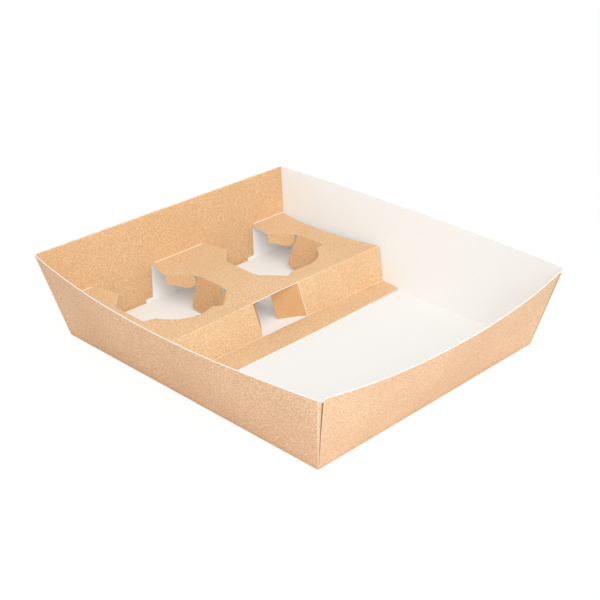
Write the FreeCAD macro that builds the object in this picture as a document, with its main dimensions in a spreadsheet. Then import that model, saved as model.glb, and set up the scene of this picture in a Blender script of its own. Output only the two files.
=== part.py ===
import FreeCAD, Part
import math
import os

# A cup carrier folded and glued from one die-cut sheet of kraft board.
# X runs from the cup wall (negative) to the open end of the tray, Y runs across it, Z is up.
# The origin is the centre of the underside of the bounding box, on the table.

SIZES = {
    # the sheet, the floor it leaves and the lean of the walls, in millimetres
    "sheet": 0.5,
    "roll_bore": 0.25,
    "floor_length": 250.0,
    "floor_width": 221.6,
    "rear_height": 63.8,
    "front_height": 60.8,
    "rear_flare": 17.2,
    "front_flare": 14.0,
    "rear_side_flare": 12.9,
    "front_side_flare": 12.5,
    # walls bow outwards and their cut rims dip in the middle
    "side_bow": 13.3,
    "front_bow": 11.8,
    "side_dip": 3.8,
    "front_dip": 5.9,
    "corner_lap": 20.0,
    "corner_notch_width": 3.6,
    "corner_notch_depth": 2.4,
    # the raised deck, its riser and the glued flange
    "deck_height": 27.0,
    "deck_front": 96.8,
    "riser_lean": 8.3,
    "flange_depth": 22.0,
    "flange_taper": 1.5,
    "flange_corner": 3.0,
    "end_gap": 0.6,
    "deck_end_hollow": 6.8,
    # the two cup openings: a circle inside an octagon of creases
    "cup_radius": 32.6,
    "cup_spacing": 107.5,
    "cup_shift": -0.8,
    "cup_setback": 47.3,
    "crease_reach": 39.2,
    "side_reach": 38.2,
    "front_edge": 16.0,
    "tongue_half": 26.3,
    "tongue_taper": 5.3,
    "notch_width": 7.0,
    "notch_height": 2.75,
    "tab_bite": 1.3,
    "tab_inset": 1.5,
    "leg_length": 25.0,
    "leg_corner": 3.0,
    "slit": 3.0,
    "nick": 0.6,
    # the window in the riser and its doors
    "window_width": 46.7,
    "window_shift": 6.6,
    "door_width": 22.6,
    "door_clearance": 0.4,
    # how far each tab is pushed down from flat, in degrees
    "rear_tab_fold": 75.0,
    "front_tab_fold": 48.0,
    "near_inner_leg_fold": 79.0,
    "near_outer_leg_fold": 74.0,
    "far_inner_leg_fold": 76.0,
    "far_outer_leg_fold": 60.0,
    "right_door_fold": 31.0,
    "left_door_fold": 40.0,
}

X_AXIS = FreeCAD.Vector(1, 0, 0)
Y_AXIS = FreeCAD.Vector(0, 1, 0)
Z_AXIS = FreeCAD.Vector(0, 0, 1)
BEYOND = 40.0
OCTAGON_HALF = math.pi / 8
DIAGONAL = math.sqrt(0.5)

doc = FreeCAD.newDocument("cup_carrier")
sheet_of_sizes = doc.addObject("Spreadsheet::Sheet", "Sizes")
for row, (alias, value) in enumerate(SIZES.items(), start=1):
    sheet_of_sizes.set(f"A{row}", alias)
    sheet_of_sizes.set(f"B{row}", str(value))
    sheet_of_sizes.setAlias(f"B{row}", alias)
doc.recompute()


def size(alias):
    return float(sheet_of_sizes.get(alias))


def tied(feature, **ties):
    """Bind properties of a feature to expressions of the sizes."""
    for name, expression in ties.items():
        feature.setExpression(name, expression)
    return feature


# Outlines

def round_stretch(first, middle, last):
    """The arc through three points, drawn anticlockwise as a sketch wants it."""
    circle = Part.Circle(first, middle, last)
    if circle.Axis.z < 0:
        circle = Part.Circle(last, middle, first)
        first, last = last, first
    return Part.ArcOfCircle(circle, circle.parameter(first), circle.parameter(last))


def outline(name, points, placement, closed=True):
    """A sketch through flat points; one marked "arc" is the middle of a round stretch."""
    sketch = doc.addObject("Sketcher::SketchObject", name)
    corners = [FreeCAD.Vector(p[0], p[1], 0) for p in points]
    marks = [len(p) > 2 for p in points]
    count = len(points)
    ends = range(count if closed else count - 1)
    for i in ends:
        after = (i + 1) % count
        if marks[i]:
            continue
        if marks[after]:
            edge = round_stretch(corners[i], corners[after], corners[(i + 2) % count])
        else:
            edge = Part.LineSegment(corners[i], corners[after])
        sketch.addGeometry(edge, False)
    sketch.Placement = placement
    return sketch


def level(height):
    return FreeCAD.Placement(FreeCAD.Vector(0, 0, height), FreeCAD.Rotation())


def axes(origin, across, along):
    """Place a flat outline with its first axis across and its second axis along."""
    normal = across.cross(along)
    return FreeCAD.Placement(origin, FreeCAD.Rotation(across, along, normal, "XYZ"))


UPRIGHT_XZ = axes(FreeCAD.Vector(), X_AXIS, Z_AXIS)
UPRIGHT_YZ = axes(FreeCAD.Vector(), Y_AXIS, Z_AXIS)


def extrusion(name, base, direction, length, both_ways=True):
    solid = doc.addObject("Part::Extrusion", name)
    solid.Base = base
    solid.DirMode = "Custom"
    solid.Dir = direction
    solid.Solid = True
    solid.Symmetric = both_ways
    if isinstance(length, str):
        tied(solid, LengthFwd=length)
    else:
        solid.LengthFwd = length
    return solid


def combined(kind, name, *parts):
    """A cut or common of two shapes, or a fusion of many."""
    result = doc.addObject(f"Part::{kind}", name)
    if kind == "MultiFuse":
        result.Shapes = list(parts)
    else:
        result.Base, result.Tool = parts
    return result


# Walls: ruled from the straight floor folds to the bowed rims

sheet = size("sheet")
rear_height = size("rear_height")
front_height = size("front_height")
middle_height = (rear_height + front_height) / 2
half_width = size("floor_width") / 2
front_reach = (size("front_flare") + size("front_bow")) * (1 - size("front_dip") / front_height)
floor_shift = (size("rear_flare") - front_reach) / 2
floor_rear = floor_shift - size("floor_length") / 2
floor_front = floor_shift + size("floor_length") / 2
full_height = rear_height + size("front_dip")
wall_step = sheet * math.hypot(1, size("rear_flare") / rear_height)


def ring(height, rear_inset, side_inset, front_inset):
    """Corners and wall middles of the tray at one height, moved inwards by the insets."""
    rise_rear = height / rear_height
    rise_front = height / front_height
    rear = floor_rear - size("rear_flare") * rise_rear + rear_inset
    front = floor_front + size("front_flare") * rise_front - front_inset
    half_rear = half_width + size("rear_side_flare") * rise_rear - side_inset
    half_front = half_width + size("front_side_flare") * rise_front - side_inset
    half_middle = (half_rear + half_front) / 2 + size("side_bow") * height / middle_height
    front_middle = front + size("front_bow") * rise_front
    middle = (rear + front) / 2
    corners = [(rear, -half_rear), (front, -half_front), (front, half_front), (rear, half_rear)]
    if height == 0:
        return corners
    sides = [(middle, -half_middle, "arc"), (front_middle, 0, "arc"), (middle, half_middle, "arc")]
    return [corners[0], sides[0], corners[1], sides[1], corners[2], sides[2], corners[3]]


def tray_form(name, rear_inset=0.0, side_inset=0.0, front_inset=0.0):
    """The solid inside the flared walls, drawn in by an inset on each side."""
    insets = (rear_inset, side_inset, front_inset)
    foot = outline(f"{name}_foot", ring(0.0, *insets), level(0.0))
    top = outline(f"{name}_top", ring(full_height, *insets), level(full_height))
    form = doc.addObject("Part::Loft", name)
    form.Sections = [foot, top]
    form.Solid = True
    form.Ruled = True
    return form


outer_form = tray_form("outer_form")
inner_form = tray_form("inner_form", wall_step, wall_step, wall_step)
walls = combined("Cut", "walls", outer_form, inner_form)

slab = doc.addObject("Part::Box", "slab")
slab.Placement = FreeCAD.Placement(FreeCAD.Vector(-size("floor_length"), -size("floor_width"), 0),
                                   FreeCAD.Rotation())
tied(slab, Length="2 * Sizes.floor_length", Width="2 * Sizes.floor_width", Height="Sizes.sheet")
floor_plate = combined("Common", "floor_plate", outer_form, slab)


# Corner laps: the ends of the side walls, folded round and glued inside the end walls

def corner_laps(name):
    """One more layer against the end walls, kept only beside the corners."""
    second = tray_form(f"{name}_inner", 2 * wall_step, wall_step, 2 * wall_step)
    layer = combined("Cut", f"{name}_layer", inner_form, second)
    window = doc.addObject("Part::Box", f"{name}_window")
    window.Placement = FreeCAD.Placement(
        FreeCAD.Vector(-size("floor_length"), size("corner_lap") - half_width, 0), FreeCAD.Rotation())
    tied(window, Length="2 * Sizes.floor_length", Width="Sizes.floor_width - 2 * Sizes.corner_lap",
         Height="2 * Sizes.rear_height")
    return combined("Cut", name, layer, window)


laps = corner_laps("laps")


# Rims: the side rims and the open end's rim are cut to a hollow line

wall_length = math.hypot(size("rear_flare"), rear_height)
up_the_wall = FreeCAD.Vector(-size("rear_flare") / wall_length, 0, rear_height / wall_length)
off_the_wall = FreeCAD.Vector(up_the_wall.z, 0, -up_the_wall.x)
roll_radius = sheet + size("roll_bore")
rear_top = rear_height - roll_radius * (1 + off_the_wall.z)


def wall_face(height, depth=0.0):
    """A point on the cup wall's outer face at a height, moved inwards square to the wall."""
    point = FreeCAD.Vector(floor_rear - size("rear_flare") * height / rear_height, 0, height)
    return point + off_the_wall * depth


rear_rim = wall_face(rear_top)
front_rim = FreeCAD.Vector(floor_front + size("front_flare"), 0, front_height)
rim_middle = (rear_rim + front_rim) / 2
above = full_height + BEYOND
side_waste = outline("side_waste_line", [
    (rear_rim.x - BEYOND, rear_top),
    (rear_rim.x, rear_top),
    (rim_middle.x, rim_middle.z - size("side_dip"), "arc"),
    (front_rim.x, front_height),
    (front_rim.x + BEYOND, front_height),
    (front_rim.x + BEYOND, above),
    (rear_rim.x - BEYOND, above),
], UPRIGHT_XZ)
side_waste = extrusion("side_waste", side_waste, Y_AXIS, "2 * Sizes.floor_width")

half_front_rim = half_width + size("front_side_flare")
end_waste = outline("end_waste_line", [
    (-half_front_rim, front_height),
    (0, front_height - size("front_dip"), "arc"),
    (half_front_rim, front_height),
    (half_front_rim, above),
    (-half_front_rim, above),
], UPRIGHT_YZ)
end_waste = extrusion("end_waste", end_waste, X_AXIS, "Sizes.floor_length", both_ways=False)


def corner_notch(name, side):
    """The small relief cut into the rim where the open end's wall meets a side wall."""
    corner = FreeCAD.Vector(front_rim.x, side * half_front_rim, front_height)
    outward = FreeCAD.Vector(DIAGONAL, side * DIAGONAL, 0)
    half = size("corner_notch_width") / 2
    line = outline(f"{name}_line", [
        (-half, 0),
        (0, -size("corner_notch_depth")),
        (half, 0),
        (half, BEYOND),
        (-half, BEYOND),
    ], axes(corner, Z_AXIS.cross(outward), Z_AXIS))
    return extrusion(name, line, outward, "4 * Sizes.corner_notch_width")


tall_tray = combined("MultiFuse", "tall_tray", walls, floor_plate, laps)
end_cut = combined("Cut", "end_cut", tall_tray, end_waste)
side_cut = combined("Cut", "side_cut", end_cut, side_waste)
notches = combined("MultiFuse", "notches", corner_notch("near_notch", -1), corner_notch("far_notch", 1))
tray = combined("Cut", "tray", side_cut, notches)


# Cup wall: over the rim in a roll, down inside, then deck, riser and flange

deck_height = size("deck_height")
panel_depth = 2 * roll_radius
deck_rear = wall_face(deck_height, panel_depth)
deck_rear.x += (deck_rear.z - deck_height) * up_the_wall.x / up_the_wall.z * -1
deck_rear.z = deck_height
deck_front = FreeCAD.Vector(floor_shift + size("deck_front") - size("floor_length") / 2, 0, deck_height)
flange_top = 2 * sheet
riser_foot = FreeCAD.Vector(deck_front.x + size("riser_lean"), 0, flange_top)
flange_end = FreeCAD.Vector(riser_foot.x + size("flange_depth"), 0, flange_top)
roll_centre = wall_face(rear_top, roll_radius)
roll_crown = roll_centre + up_the_wall * roll_radius


def flat(point, *mark):
    return (point.x, point.z) + mark


strip_line = outline("strip_line", [
    flat(rear_rim - up_the_wall * roll_radius),
    flat(rear_rim),
    flat(roll_crown, "arc"),
    flat(wall_face(rear_top, panel_depth)),
    flat(deck_rear),
    flat(deck_front),
    flat(riser_foot),
    flat(flange_end),
], UPRIGHT_XZ, closed=False)
strip_section = doc.addObject("Part::Offset2D", "strip_section")
strip_section.Source = strip_line
strip_section.Mode = "Skin"
strip_section.Join = "Arc"
strip_section.Fill = True
tied(strip_section, Value="-Sizes.sheet")
long_strip = extrusion("long_strip", strip_section, Y_AXIS, "2 * Sizes.floor_width")
rim_room = 2 * sheet
strip_room = tray_form("strip_room", -rim_room, wall_step + size("end_gap"), wall_step)
strip = combined("Common", "strip", long_strip, strip_room)


def deck_half(place):
    """Half the room between the side walls at deck height, at a place along X."""
    rise = deck_height / middle_height
    flare = size("rear_side_flare") * rise
    share = (place - floor_shift) / (size("floor_length") / 2)
    bow = size("side_bow") * rise * (1 - share ** 2)
    return half_width + flare + bow - wall_step - size("end_gap")


def deck_end_waste(name, side):
    """The hollow curve cut into one end of the deck."""
    rear_half, front_half = deck_half(deck_rear.x), deck_half(deck_front.x)
    middle = (deck_rear.x + deck_front.x) / 2
    hollow = (rear_half + front_half) / 2 - size("deck_end_hollow")
    line = outline(f"{name}_line", [
        (deck_rear.x, side * rear_half),
        (middle, side * hollow, "arc"),
        (deck_front.x, side * front_half),
        (deck_front.x, side * (front_half + BEYOND)),
        (deck_rear.x, side * (front_half + BEYOND)),
    ], level(deck_height))
    return extrusion(name, line, Z_AXIS, "4 * Sizes.sheet")


def flange_end_waste(name, side):
    """The slanted cut at one end of the glued flange."""
    end = half_width - wall_step - size("flange_taper")
    corner = size("flange_corner")
    bulge = corner * (1 - DIAGONAL)
    line = outline(f"{name}_line", [
        (riser_foot.x + sheet, side * half_width),
        (flange_end.x - corner, side * end),
        (flange_end.x - bulge, side * (end - bulge), "arc"),
        (flange_end.x, side * (end - corner)),
        (flange_end.x + corner, side * (end - corner)),
        (flange_end.x + corner, side * (half_width + BEYOND)),
        (riser_foot.x + sheet, side * (half_width + BEYOND)),
    ], level(flange_top))
    return extrusion(name, line, Z_AXIS, "4 * Sizes.sheet")


# Cup openings

cup_x = deck_front.x - size("cup_setback")
cup_radius = size("cup_radius")
crease_reach = size("crease_reach")
side_reach = size("side_reach")
half_side = crease_reach * math.tan(OCTAGON_HALF)


def cup_y(side):
    return size("cup_shift") + side * size("cup_spacing") / 2


def on_crease(along, front):
    """A point of a diagonal crease, as forward and sideways offsets from the cup centre."""
    forward = (crease_reach - along) * DIAGONAL
    sideways = (crease_reach + along) * DIAGONAL
    return (forward if front else -forward, sideways)


diagonal_end = half_side - size("slit")
rear_start = -half_side / 2
front_start = -half_side + 2 * size("slit")
leg_rear = size("nick") - half_side
leg_front = half_side - size("slit")


def opening(name, side):
    """The waste of one cup opening; the inner side is the one next to the other cup."""
    inner = -side
    y = cup_y(side)
    tongue = size("tongue_half")
    front_edge = size("front_edge")
    arc_inner = OCTAGON_HALF
    arc_outer = -math.acos(front_edge / cup_radius)
    arc_middle = (arc_inner + arc_outer) / 2

    def at(forward, sideways, *mark):
        return (cup_x + forward, y + inner * sideways) + mark

    def on_circle(angle, *mark):
        return at(cup_radius * math.cos(angle), cup_radius * math.sin(angle), *mark)

    line = outline(f"{name}_line", [
        (deck_rear.x, y + inner * tongue),
        at(*on_crease(rear_start, front=False)),
        at(*on_crease(diagonal_end, front=False)),
        at(leg_rear, side_reach),
        at(leg_front, side_reach),
        at(*on_crease(diagonal_end, front=True)),
        at(*on_crease(front_start, front=True)),
        on_circle(arc_inner),
        on_circle(arc_middle, "arc"),
        on_circle(arc_outer),
        at(leg_front, -side_reach),
        at(leg_rear, -side_reach),
        at(-on_crease(diagonal_end, front=True)[0], -on_crease(diagonal_end, front=True)[1]),
        at(-on_crease(rear_start, front=True)[0], -on_crease(rear_start, front=True)[1]),
        (deck_rear.x, y - inner * tongue),
    ], level(deck_height))
    return extrusion(name, line, Z_AXIS, "4 * Sizes.sheet")


# The window between the doors

window_y = size("window_shift")
half_window = size("window_width") / 2
window_waste = doc.addObject("Part::Box", "window_waste")
window_waste.Placement = FreeCAD.Placement(
    FreeCAD.Vector(deck_front.x - 2 * sheet, window_y - half_window, flange_top), FreeCAD.Rotation())
tied(window_waste, Length="Sizes.riser_lean + 4 * Sizes.sheet", Width="Sizes.window_width",
     Height="Sizes.deck_height - 3 * Sizes.sheet")

waste = combined("MultiFuse", "waste",
                 deck_end_waste("near_end", -1), deck_end_waste("far_end", 1),
                 flange_end_waste("near_flange_end", -1), flange_end_waste("far_flange_end", 1),
                 opening("near_opening", -1), opening("far_opening", 1), window_waste)
cut_strip = combined("Cut", "cut_strip", strip, waste)


# Tabs pushed out of the openings

def tab(name, points, hinge, across, along):
    """A flat tab of board; its outline starts at the hinge and runs along the folded tab."""
    line = outline(f"{name}_line", points, axes(hinge, across, along))
    return extrusion(name, line, across.cross(along), "Sizes.sheet")


def folded(flat_direction, degrees):
    angle = math.radians(degrees)
    return flat_direction * math.cos(angle) - Z_AXIS * math.sin(angle)


deck_middle = deck_height - sheet / 2


def tongue(name, side):
    """The back tab: it stays in the plane of the inner panel and reaches the floor."""
    top = size("tongue_half")
    foot = top - size("tongue_taper")
    fold = wall_face(deck_height, panel_depth - sheet / 2)
    length = (fold.z - sheet) / up_the_wall.z - sheet
    notch = length - size("notch_height")
    inside = foot - size("notch_width")
    half = [(top, -sheet), (foot, notch), (inside, notch), (inside, length)]
    points = half + [(-across, along) for across, along in reversed(half)]
    return tab(name, points, fold + Y_AXIS * cup_y(side), Y_AXIS, up_the_wall * -1)


def diagonal_tab(name, side, inner, front, start, degrees):
    """A tab on a slanting crease; its free edge follows the cup."""
    toward = inner * -side
    first = on_crease(start, front)
    last = on_crease(diagonal_end, front)
    first = FreeCAD.Vector(cup_x + first[0], cup_y(side) + toward * first[1], deck_middle)
    last = FreeCAD.Vector(cup_x + last[0], cup_y(side) + toward * last[1], deck_middle)
    across = (last - first).normalize()
    inward = FreeCAD.Vector(-1 if front else 1, -toward, 0).normalize()
    span = diagonal_end - start

    def free_edge(place, *mark):
        reach = math.sqrt((cup_radius - size("tab_bite")) ** 2 - (start + place) ** 2)
        return (place, crease_reach - reach) + mark

    inset = size("tab_inset")
    points = [
        (0, -sheet / 2),
        free_edge(inset),
        free_edge(span / 2, "arc"),
        free_edge(span - inset),
        (span, -sheet / 2),
    ]
    return tab(name, points, first, across, folded(inward, degrees))


def leg(name, side, inner, degrees):
    """The long tab beside the cup."""
    toward = inner * -side
    hinge = FreeCAD.Vector(cup_x + leg_rear, cup_y(side) + toward * side_reach, deck_middle)
    width = leg_front - leg_rear
    length = size("leg_length")
    corner = size("leg_corner")
    bulge = corner * (1 - DIAGONAL)
    points = [
        (0, -sheet / 2),
        (0, length - corner),
        (bulge, length - bulge, "arc"),
        (corner, length),
        (width - corner, length),
        (width - bulge, length - bulge, "arc"),
        (width, length - corner),
        (width, -sheet / 2),
    ]
    return tab(name, points, hinge, X_AXIS, folded(Y_AXIS * -toward, degrees))


def door(name, side, degrees):
    """One door of the window, pushed in under the deck."""
    slope = (deck_front - riser_foot).normalize()
    length = (deck_height - sheet - flange_top) / slope.z - sheet
    outward = FreeCAD.Vector(slope.z, 0, -slope.x)
    middle = riser_foot - outward * (sheet / 2)
    hinge = middle + Y_AXIS * (window_y + side * half_window)
    angle = math.radians(degrees)
    along = Y_AXIS * (-side * math.cos(angle)) - outward * math.sin(angle)
    dip = sheet + size("door_clearance") - hinge.z - size("door_width") * along.z
    points = [
        (sheet, -sheet / 2),
        (max(sheet, dip / slope.z), size("door_width")),
        (length, size("door_width")),
        (length, -sheet / 2),
    ]
    return tab(name, points, hinge, slope, along)


tabs = []
for cup, side in (("near", -1), ("far", 1)):
    tabs.append(tongue(f"{cup}_tongue", side))
    for place, inner in (("inner", 1), ("outer", -1)):
        fold = size(f"{cup}_{place}_leg_fold")
        tabs.append(leg(f"{cup}_{place}_leg", side, inner, fold))
        tabs.append(diagonal_tab(f"{cup}_{place}_rear_tab", side, inner, False, rear_start,
                                 size("rear_tab_fold")))
    tabs.append(diagonal_tab(f"{cup}_front_tab", side, 1, True, front_start, size("front_tab_fold")))
tabs.append(door("right_door", 1, size("right_door_fold")))
tabs.append(door("left_door", -1, size("left_door_fold")))


# The whole folded sheet is one solid

carrier = combined("MultiFuse", "cup_tray", tray, cut_strip, *tabs)
carrier.Label = "cup_tray"
doc.recompute()

for item in doc.Objects:
    if "Invalid" in item.State or "Error" in item.State:
        raise RuntimeError(f"{item.Name} failed")
shape = carrier.Shape
if shape.isNull() or not shape.isValid() or len(shape.Solids) != 1:
    raise RuntimeError(f"{carrier.Label} is not one valid solid: {len(shape.Solids)}")

os.makedirs("parts", exist_ok=True)
shape.exportStep(f"parts/{carrier.Label}.step")
box = shape.optimalBoundingBox(False, False)
print(carrier.Label, "volume", round(shape.Volume), "faces", len(shape.Faces))
print("box", [round(v, 2) for v in (box.XMin, box.XMax, box.YMin, box.YMax, box.ZMin, box.ZMax)])
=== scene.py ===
import bmesh
import bpy
import math
from mathutils import Matrix, Vector, noise


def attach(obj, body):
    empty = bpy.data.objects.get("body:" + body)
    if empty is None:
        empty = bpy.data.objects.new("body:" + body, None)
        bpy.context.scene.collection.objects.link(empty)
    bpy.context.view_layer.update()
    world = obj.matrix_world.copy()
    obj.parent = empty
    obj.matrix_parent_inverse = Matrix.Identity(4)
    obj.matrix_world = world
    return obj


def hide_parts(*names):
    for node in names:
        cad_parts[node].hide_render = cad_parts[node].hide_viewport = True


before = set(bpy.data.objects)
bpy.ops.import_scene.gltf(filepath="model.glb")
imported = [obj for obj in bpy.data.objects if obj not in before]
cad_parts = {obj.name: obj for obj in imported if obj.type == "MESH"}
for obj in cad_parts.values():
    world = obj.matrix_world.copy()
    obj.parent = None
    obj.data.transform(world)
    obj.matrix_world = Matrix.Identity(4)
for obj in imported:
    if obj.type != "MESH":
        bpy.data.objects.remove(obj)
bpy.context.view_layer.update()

MM = 0.001

# The sheet, the floor and the walls
SHEET = 0.5 * MM
FLUFFED_SHEET = 0.62 * MM
HALF_WIDTH = 110.8 * MM
FLOOR_REAR = -128.05 * MM
FLOOR_FRONT = 121.95 * MM
FLOOR_MIDDLE = (FLOOR_REAR + FLOOR_FRONT) / 2
HALF_LENGTH = (FLOOR_FRONT - FLOOR_REAR) / 2
REAR_HEIGHT = 63.8 * MM
FRONT_HEIGHT = 60.8 * MM
MIDDLE_HEIGHT = (REAR_HEIGHT + FRONT_HEIGHT) / 2
REAR_FLARE = 17.2 * MM
FRONT_FLARE = 14.0 * MM
REAR_SIDE_FLARE = 12.9 * MM
FRONT_SIDE_FLARE = 12.5 * MM
SIDE_BOW = 13.3 * MM
FRONT_BOW = 11.8 * MM
SIDE_DIP = 3.8 * MM
FRONT_DIP = 5.9 * MM
ROLL = 0.75 * MM

# The open end's corners: a notch in the rim and the lap's gap below it
NOTCH_REACH = 4.5 * MM
NOTCH_DEPTH = 2.4 * MM
GAP_NEAR = 2.7 * MM
GAP_FAR = 3.7 * MM
GAP_SLOPE = 0.4 * MM
GAP_DEPTH = 0.16 * MM
GAP_CLOSING = 0.8
LAP_EDGE_WEAR = 0.6
CORNER_PULL = Vector((-0.9, -2.0, 0)) * MM
CORNER_PULL_REACH = 45 * MM

# The deck, the riser and the flange
END_GAP = 0.6 * MM
DECK_HEIGHT = 27 * MM
DECK_REAR = -133.77 * MM
DECK_FRONT = -31.25 * MM
RISER_LEAN = 8.3 * MM
FLANGE_DEPTH = 22 * MM
FLANGE_CORNER = 2.5 * MM
FLANGE_CORNER_FROM = 106 * MM
FLANGE_CORNER_TO = 111 * MM
RISER_END_GAP = 1.3 * MM
RISER_NARROWS_FROM = 60 * MM
DECK_END_HOLLOW = 6.8 * MM
WINDOW_LEFT = -16.75 * MM
WINDOW_RIGHT = 29.95 * MM
WINDOW_MIDDLE = (WINDOW_LEFT + WINDOW_RIGHT) / 2
DOOR_WIDTH = 22.6 * MM
DOOR_FOOT_DROP = 0.8 * MM

# How the folded board has settled
FLANGE_LIFT = 2.6 * MM
FREE_EDGE_LIFT = 0.45
FLANGE_SKEW = 1.5 * MM
SKEW_FROM = 20 * MM
SKEW_TO = 110 * MM
RISER_END_FORWARD = 4.5 * MM
RISER_END_OUT = 0.9 * MM
RISER_END_FROM = 100 * MM
RISER_END_TO = 109 * MM
FOLD_WAVER = 0.3 * MM
FOLD_WAVER_SCALE = 9 * MM
DECK_SAG = 2.2 * MM
SAG_FROM = -30 * MM
SAG_TO = 90 * MM
SAG_DEPTH = 45 * MM
DECK_LEVELS_OUT = 10 * MM
WINDOW_LEAN = 2.4 * MM
LEAN_FULL = 24 * MM
LEAN_NONE = 60 * MM
LEAN_STARTS = 25 * MM
LEAN_ENDS = 10 * MM
WARP = 0.35 * MM
WARP_SCALE = 55 * MM
STIFF_CORNER = 4

# The cup openings with their tabs
CUP_RADIUS = 32.6 * MM
CUP_X = -78.55 * MM
CUP_Y = {"near": -54.55 * MM, "far": 52.95 * MM}
CREASE_REACH = 39.2 * MM
SIDE_REACH = 38.2 * MM
FRONT_EDGE = 16 * MM
TONGUE_HALF = 26.3 * MM
TONGUE_FOOT = 21.0 * MM
TONGUE_NOTCH = 7.0 * MM
NOTCH_HEIGHT = 2.75 * MM
TAB_BITE = 1.3 * MM
TAB_INSET = 1.5 * MM
TAB_LEAN = 4.0 * MM
TAB_SHORT = 6.5 * MM
TAB_DIP = 2.6 * MM
DIP_BETWEEN = (0.35, 0.72)
SHORT_BETWEEN = (0.74, 1.0)
LEG_LENGTH = 26 * MM
LEG_CORNER = 3 * MM
SLIT = 3 * MM
NICK = 1.8 * MM
OCTAGON_HALF = math.pi / 8
DIAGONAL = math.sqrt(0.5)
HALF_SIDE = CREASE_REACH * math.tan(OCTAGON_HALF)
REAR_START = -HALF_SIDE / 2
FRONT_START = 2 * SLIT - HALF_SIDE
CREASE_END = HALF_SIDE - SLIT
LEG_REAR = NICK - HALF_SIDE
LEG_FRONT = HALF_SIDE - SLIT
FOLD = {
    "near": {"inner_leg": 74, "outer_leg": 74},
    "far": {"inner_leg": 76, "outer_leg": 60},
    "rear_tab": 75,
    "front_tab": 48,
    "right_door": 31,
    "left_door": 49.5,
}

# How finely the board is divided
CLOSE = 0.02 * MM
SAME_SHARE = 1e-4
TRAY_COLUMNS = (42, 36)
LINING_COLUMNS = (8, 40)
DECK_COLUMNS = (16, 40)
DECK_LINES_TO = 120 * MM
WALL_ROWS = 10
RISER_ROWS = 5
TAB_ROWS = 4
LEG_ROWS = 25
ROLL_ROWS = 6
CORNER_ROWS = 4
ARC_STEPS = 14
RIM_BAND = 0.5 * MM
FOLD_BAND = 0.7 * MM
TAB_FIRST_ROW = FOLD_BAND / (20 * MM)
FLANGE_ROWS = [FOLD_BAND, 7 * MM, 14 * MM]
END_LINES = [105 * MM, 107.5 * MM, 109 * MM, 110 * MM]
CREASE_ROUNDING = 0.35 * FOLD_BAND
CREASE_ANGLE = math.radians(25)
SMOOTH_ANGLE = math.radians(35)


def spread(start, end, count):
    return [start + (end - start) * k / count for k in range(count + 1)]


def around(lines, wanted):
    """The wanted lines, with those of the others that don't come too near one of them."""
    return [line for line in lines if all(abs(line - other) > MM for other in wanted)] + wanted


def share_of(value, low, high):
    return min(max((value - low) / (high - low), 0.0), 1.0)


def eased(value, low, high):
    share = share_of(value, low, high)
    return share * share * (3 - 2 * share)


def outward(amount, side):
    """An amount across the tray, away from its middle line."""
    return math.copysign(amount, side)


def spot(point):
    """A point rounded, so that it can be looked up again."""
    return tuple(round(c, 7) for c in point)


# Modelling helpers

def edit(piece):
    bpy.ops.object.mode_set(mode="OBJECT")
    bpy.ops.object.select_all(action="DESELECT")
    bpy.context.view_layer.objects.active = piece
    piece.select_set(True)
    bpy.ops.object.mode_set(mode="EDIT")
    bpy.ops.mesh.select_mode(type="VERT")


def done():
    bpy.ops.object.mode_set(mode="OBJECT")


def cut_lines(axis, places):
    """Divide the whole piece along straight lines, as with a ruler."""
    for place in places:
        bpy.ops.mesh.select_all(action="SELECT")
        point = Vector()
        point[axis] = place
        direction = Vector()
        direction[axis] = 1
        bpy.ops.mesh.bisect(plane_co=point, plane_no=direction, threshold=CLOSE / 10)


def flat_panel(name, low, high, lines_x, lines_y):
    """A flat panel of board between two corners, divided where it will fold or bend."""
    bpy.ops.object.select_all(action="DESELECT")
    bpy.ops.mesh.primitive_plane_add(size=1)
    piece = bpy.context.object
    piece.name = piece.data.name = name
    edit(piece)
    bpy.ops.mesh.select_all(action="SELECT")
    bpy.ops.transform.resize(value=(high[0] - low[0], high[1] - low[1], 1))
    middle = ((low[0] + high[0]) / 2, (low[1] + high[1]) / 2, 0)
    bpy.ops.transform.translate(value=middle)
    cut_lines(0, lines_x)
    cut_lines(1, lines_y)
    return piece


def die_cut(name, path, height):
    """A panel cut to an outline, lying flat at a height."""
    curve = bpy.data.curves.new(name, "CURVE")
    curve.dimensions = "2D"
    curve.fill_mode = "BOTH"
    line = curve.splines.new("POLY")
    line.points.add(len(path) - 1)
    for point, place in zip(line.points, path):
        point.co = (place[0], place[1], 0, 1)
    line.use_cyclic_u = True
    piece = bpy.data.objects.new(name, curve)
    bpy.context.scene.collection.objects.link(piece)
    bpy.ops.object.select_all(action="DESELECT")
    bpy.context.view_layer.objects.active = piece
    piece.select_set(True)
    bpy.ops.object.convert(target="MESH")
    piece = bpy.context.object
    edit(piece)
    bpy.ops.mesh.select_all(action="SELECT")
    bpy.ops.mesh.remove_doubles(threshold=CLOSE)
    bpy.ops.transform.translate(value=(0, 0, height))
    return piece


def mark_edges(piece, test):
    """Select the open edges whose two ends pass a test; say how many there are."""
    bpy.ops.mesh.select_all(action="DESELECT")
    bpy.ops.mesh.select_mode(type="EDGE")
    mesh = bmesh.from_edit_mesh(piece.data)
    count = 0
    for edge in mesh.edges:
        if edge.is_boundary and all(test(v.co) for v in edge.verts):
            edge.select_set(True)
            count += 1
    bmesh.update_edit_mesh(piece.data)
    return count


def mark_faces(piece, test):
    bpy.ops.mesh.select_all(action="DESELECT")
    bpy.ops.mesh.select_mode(type="FACE")
    mesh = bmesh.from_edit_mesh(piece.data)
    for face in mesh.faces:
        if test(face.calc_center_median()):
            face.select_set(True)
    bmesh.update_edit_mesh(piece.data)


def marks(mesh, name):
    return mesh.verts.layers.float.get(name) or mesh.verts.layers.float.new(name)


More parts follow.
